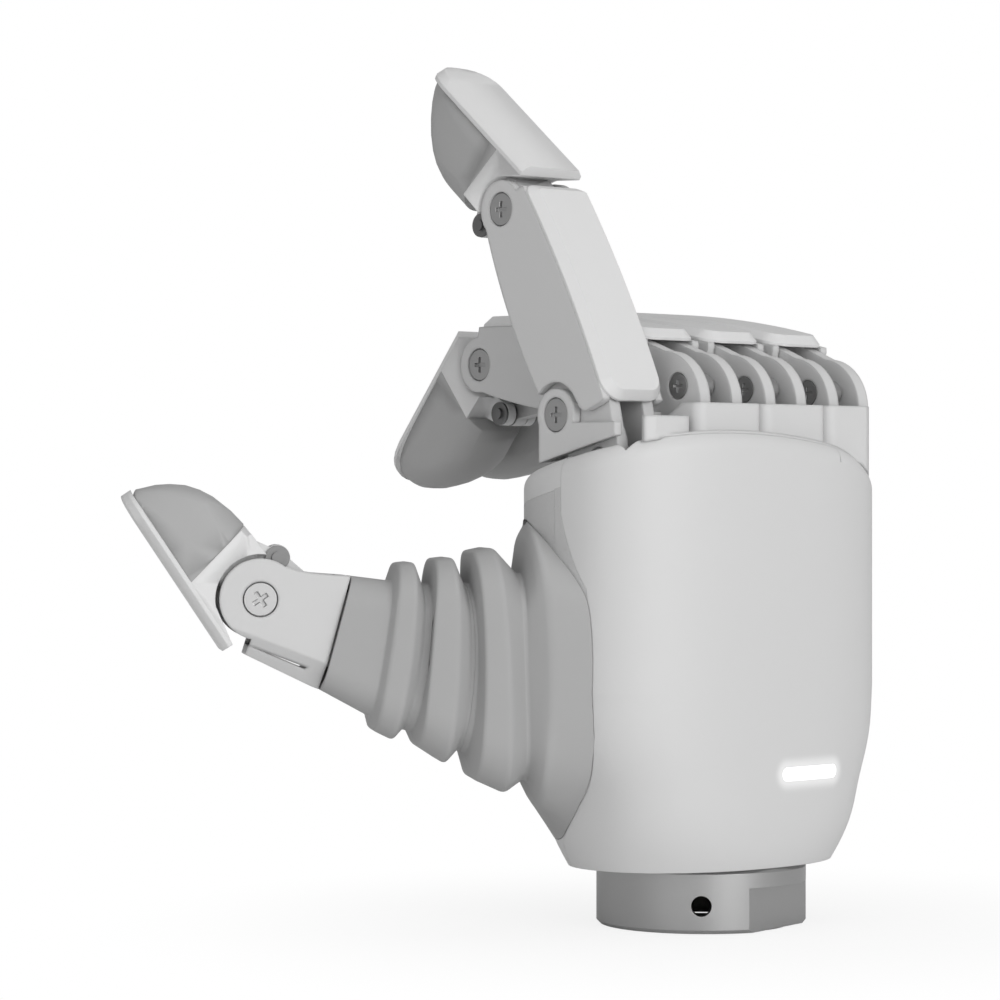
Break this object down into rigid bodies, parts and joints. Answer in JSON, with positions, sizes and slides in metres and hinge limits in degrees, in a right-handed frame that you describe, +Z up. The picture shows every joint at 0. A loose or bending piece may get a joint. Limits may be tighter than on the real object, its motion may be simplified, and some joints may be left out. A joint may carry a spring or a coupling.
{
  "type": "dexterous robot hand",
  "caption": "Right robot hand: wrist flange, shell palm, linkage-driven fingers with rubber pads, and a thumb in a bellows.",
  "frame": {"origin": "centre of the wrist flange's end face", "axes": "+Z up the hand along the wrist axis, -Y to the back of the hand, +Y to the palm side, -X to the thumb side"},
  "size_m": [0.1582, 0.1123, 0.189],
  "materials": {
    "shell": "fine matt",
    "finger_frame": "matt",
    "cover": "fine matt",
    "skin": "fine texture",
    "pad": "smooth matt",
    "bellows": "matt",
    "flange": "satin turned",
    "steel": "satin",
    "dark": "matt",
    "chassis": "satin",
    "motor": "satin",
    "light": "lit",
    "deck": "matt"
  },
  "bodies": {
    "palm": {"wrist_flange": "flange", "wrist_screws": "steel", "palm_chassis": "chassis", "swing_pins": "steel", "dorsal_shell": "shell", "palm_cover": "shell", "palm_skin": "skin", "knuckle_cap": "deck", "light_bar": "light", "actuators": "motor", "boot_skirt": "bellows", "middle_knuckle": "finger_frame", "middle_knuckle_pins": "steel"},
    "index_base": {"index_knuckle": "finger_frame", "index_knuckle_pins": "steel"},
    "index_proximal": {"index_proximal_frame": "finger_frame", "index_proximal_cover": "cover", "index_proximal_pins": "steel"},
    "index_distal": {"index_distal_shell": "cover", "index_fingertip_pad": "pad", "index_rod_pin": "steel"},
    "index_rod": {"index_coupling_rod": "steel"},
    "index_link": {"index_drive_link": "steel"},
    "middle_proximal": {"middle_proximal_frame": "finger_frame", "middle_proximal_cover": "cover", "middle_proximal_pins": "steel"},
    "middle_distal": {"middle_distal_shell": "cover", "middle_fingertip_pad": "pad", "middle_rod_pin": "steel"},
    "middle_rod": {"middle_coupling_rod": "steel"},
    "middle_link": {"middle_drive_link": "steel"},
    "ring_base": {"ring_knuckle": "finger_frame", "ring_knuckle_pins": "steel"},
    "ring_proximal": {"ring_proximal_frame": "finger_frame", "ring_proximal_cover": "cover", "ring_proximal_pins": "steel"},
    "ring_distal": {"ring_distal_shell": "cover", "ring_fingertip_pad": "pad", "ring_rod_pin": "steel"},
    "ring_rod": {"ring_coupling_rod": "steel"},
    "ring_link": {"ring_drive_link": "steel"},
    "little_base": {"little_knuckle": "finger_frame", "little_knuckle_pins": "steel"},
    "little_proximal": {"little_proximal_frame": "finger_frame", "little_proximal_cover": "cover", "little_proximal_pins": "steel"},
    "little_distal": {"little_distal_shell": "cover", "little_fingertip_pad": "pad", "little_rod_pin": "steel"},
    "little_rod": {"little_coupling_rod": "steel"},
    "little_link": {"little_drive_link": "steel"},
    "thumb_root": {"thumb_base": "chassis", "boot_inner": "bellows"},
    "thumb_upper": {"thumb_proximal": "finger_frame", "thumb_joint_pin": "steel", "boot_outer": "bellows"},
    "thumb_distal": {"thumb_distal_shell": "cover", "thumb_pad": "pad", "thumb_rod_pin": "steel"},
    "thumb_rod": {"thumb_coupling_rod": "steel"}
  },
  "joints": [
    {"name": "index_swing", "type": "hinge", "parent": "palm", "child": "index_base", "pos_m": [-0.0303, 0.0109, 0.092], "axis": [0, 1, 0], "range_deg": [-2.5, 1.3]},
    {"name": "index_mcp", "type": "hinge", "parent": "index_base", "child": "index_proximal", "pos_m": [-0.0303, 0.005, 0.111], "axis": [-1, 0, 0], "range_deg": [-11.3, 66.7]},
    {"name": "index_pip", "type": "hinge", "parent": "index_proximal", "child": "index_distal", "pos_m": [-0.0303, 0.02254, 0.156], "axis": [-1, 0, 0], "range_deg": [-6.85, 38.49]},
    {"name": "index_rod_pivot", "type": "hinge", "parent": "index_distal", "child": "index_rod", "pos_m": [-0.0303, 0.03357, 0.15335], "axis": [-1, 0, 0], "range_deg": [-35.82, 6.4]},
    {"name": "index_link_pivot", "type": "hinge", "parent": "index_proximal", "child": "index_link", "pos_m": [-0.0303, -0.00604, 0.10114], "axis": [-1, 0, 0], "range_deg": [-67.1, 11.7]},
    {"name": "middle_mcp", "type": "hinge", "parent": "palm", "child": "middle_proximal", "pos_m": [-0.0101, 0.005, 0.1135], "axis": [-1, 0, 0], "range_deg": [-68, 10]},
    {"name": "middle_pip", "type": "hinge", "parent": "middle_proximal", "child": "middle_distal", "pos_m": [-0.0101, 0.05224, 0.12354], "axis": [-1, 0, 0], "range_deg": [-39.23, 6.11]},
    {"name": "middle_rod_pivot", "type": "hinge", "parent": "middle_distal", "child": "middle_rod", "pos_m": [-0.0101, 0.04979, 0.11247], "axis": [-1, 0, 0], "range_deg": [-5.74, 36.71]},
    {"name": "middle_link_pivot", "type": "hinge", "parent": "middle_proximal", "child": "middle_link", "pos_m": [-0.0101, -0.00931, 0.11731], "axis": [-1, 0, 0], "range_deg": [-10.4, 68.4]},
    {"name": "ring_swing", "type": "hinge", "parent": "palm", "child": "ring_base", "pos_m": [0.0101, 0.0109, 0.092], "axis": [0, -1, 0], "range_deg": [-2.5, 1.3]},
    {"name": "ring_mcp", "type": "hinge", "parent": "ring_base", "child": "ring_proximal", "pos_m": [0.0101, 0.005, 0.1135], "axis": [-1, 0, 0], "range_deg": [-66.5, 11.5]},
    {"name": "ring_pip", "type": "hinge", "parent": "ring_proximal", "child": "ring_distal", "pos_m": [0.0101, 0.05196, 0.12477], "axis": [-1, 0, 0], "range_deg": [-38.37, 6.97]},
    {"name": "ring_rod_pivot", "type": "hinge", "parent": "ring_distal", "child": "ring_rod", "pos_m": [0.0101, 0.04995, 0.11361], "axis": [-1, 0, 0], "range_deg": [-6.51, 35.71]},
    {"name": "ring_link_pivot", "type": "hinge", "parent": "ring_proximal", "child": "ring_link", "pos_m": [0.0101, -0.0094, 0.11693], "axis": [-1, 0, 0], "range_deg": [-11.9, 66.9]},
    {"name": "little_swing", "type": "hinge", "parent": "palm", "child": "little_base", "pos_m": [0.0303, 0.0109, 0.086], "axis": [0, -1, 0], "range_deg": [-2.5, 1.3]},
    {"name": "little_mcp", "type": "hinge", "parent": "little_base", "child": "little_proximal", "pos_m": [0.0303, 0.005, 0.1135], "axis": [-1, 0, 0], "range_deg": [-65, 13]},
    {"name": "little_pip", "type": "hinge", "parent": "little_proximal", "child": "little_distal", "pos_m": [0.0303, 0.05165, 0.126], "axis": [-1, 0, 0], "range_deg": [-37.51, 7.82]},
    {"name": "little_rod_pivot", "type": "hinge", "parent": "little_distal", "child": "little_rod", "pos_m": [0.0303, 0.05011, 0.11477], "axis": [-1, 0, 0], "range_deg": [-7.29, 34.85]},
    {"name": "little_link_pivot", "type": "hinge", "parent": "little_proximal", "child": "little_link", "pos_m": [0.0303, -0.00948, 0.11656], "axis": [-1, 0, 0], "range_deg": [-13.4, 65.4]},
    {"name": "thumb_swing", "type": "hinge", "parent": "palm", "child": "thumb_root", "pos_m": [-0.03157, 0.00742, 0.0558], "axis": [0, 0, 1], "range_deg": [-30, 25], "deforming": ["boot_inner", "boot_skirt"]},
    {"name": "thumb_flex", "type": "hinge", "parent": "thumb_root", "child": "thumb_upper", "pos_m": [-0.05441, 0.02041, 0.0558], "axis": [-0.5592, -0.829, 0], "range_deg": [-30, 15], "deforming": ["boot_outer"]},
    {"name": "thumb_ip", "type": "hinge", "parent": "thumb_upper", "child": "thumb_distal", "pos_m": [-0.08923, 0.04391, 0.07193], "axis": [-0.5592, -0.829, 0], "range_deg": [-21.4, 10.9]},
    {"name": "thumb_rod_pivot", "type": "hinge", "parent": "thumb_distal", "child": "thumb_rod", "pos_m": [-0.086, 0.04173, 0.08062], "axis": [-0.5592, -0.829, 0], "range_deg": [-9.9, 19.4]}
  ],
  "couplings": [
    {"joint": "index_pip", "follows": "index_mcp", "ratio": 0.571},
    {"joint": "index_rod_pivot", "follows": "index_mcp", "ratio": -0.531},
    {"joint": "index_link_pivot", "follows": "index_mcp", "ratio": -1},
    {"joint": "middle_pip", "follows": "middle_mcp", "ratio": 0.571},
    {"joint": "middle_rod_pivot", "follows": "middle_mcp", "ratio": -0.534},
    {"joint": "middle_link_pivot", "follows": "middle_mcp", "ratio": -1},
    {"joint": "ring_pip", "follows": "ring_mcp", "ratio": 0.571},
    {"joint": "ring_rod_pivot", "follows": "ring_mcp", "ratio": -0.531},
    {"joint": "ring_link_pivot", "follows": "ring_mcp", "ratio": -1},
    {"joint": "little_pip", "follows": "little_mcp", "ratio": 0.571},
    {"joint": "little_rod_pivot", "follows": "little_mcp", "ratio": -0.53},
    {"joint": "little_link_pivot", "follows": "little_mcp", "ratio": -1},
    {"joint": "thumb_ip", "follows": "thumb_flex", "ratio": 0.7},
    {"joint": "thumb_rod_pivot", "follows": "thumb_flex", "ratio": -0.632}
  ]
}
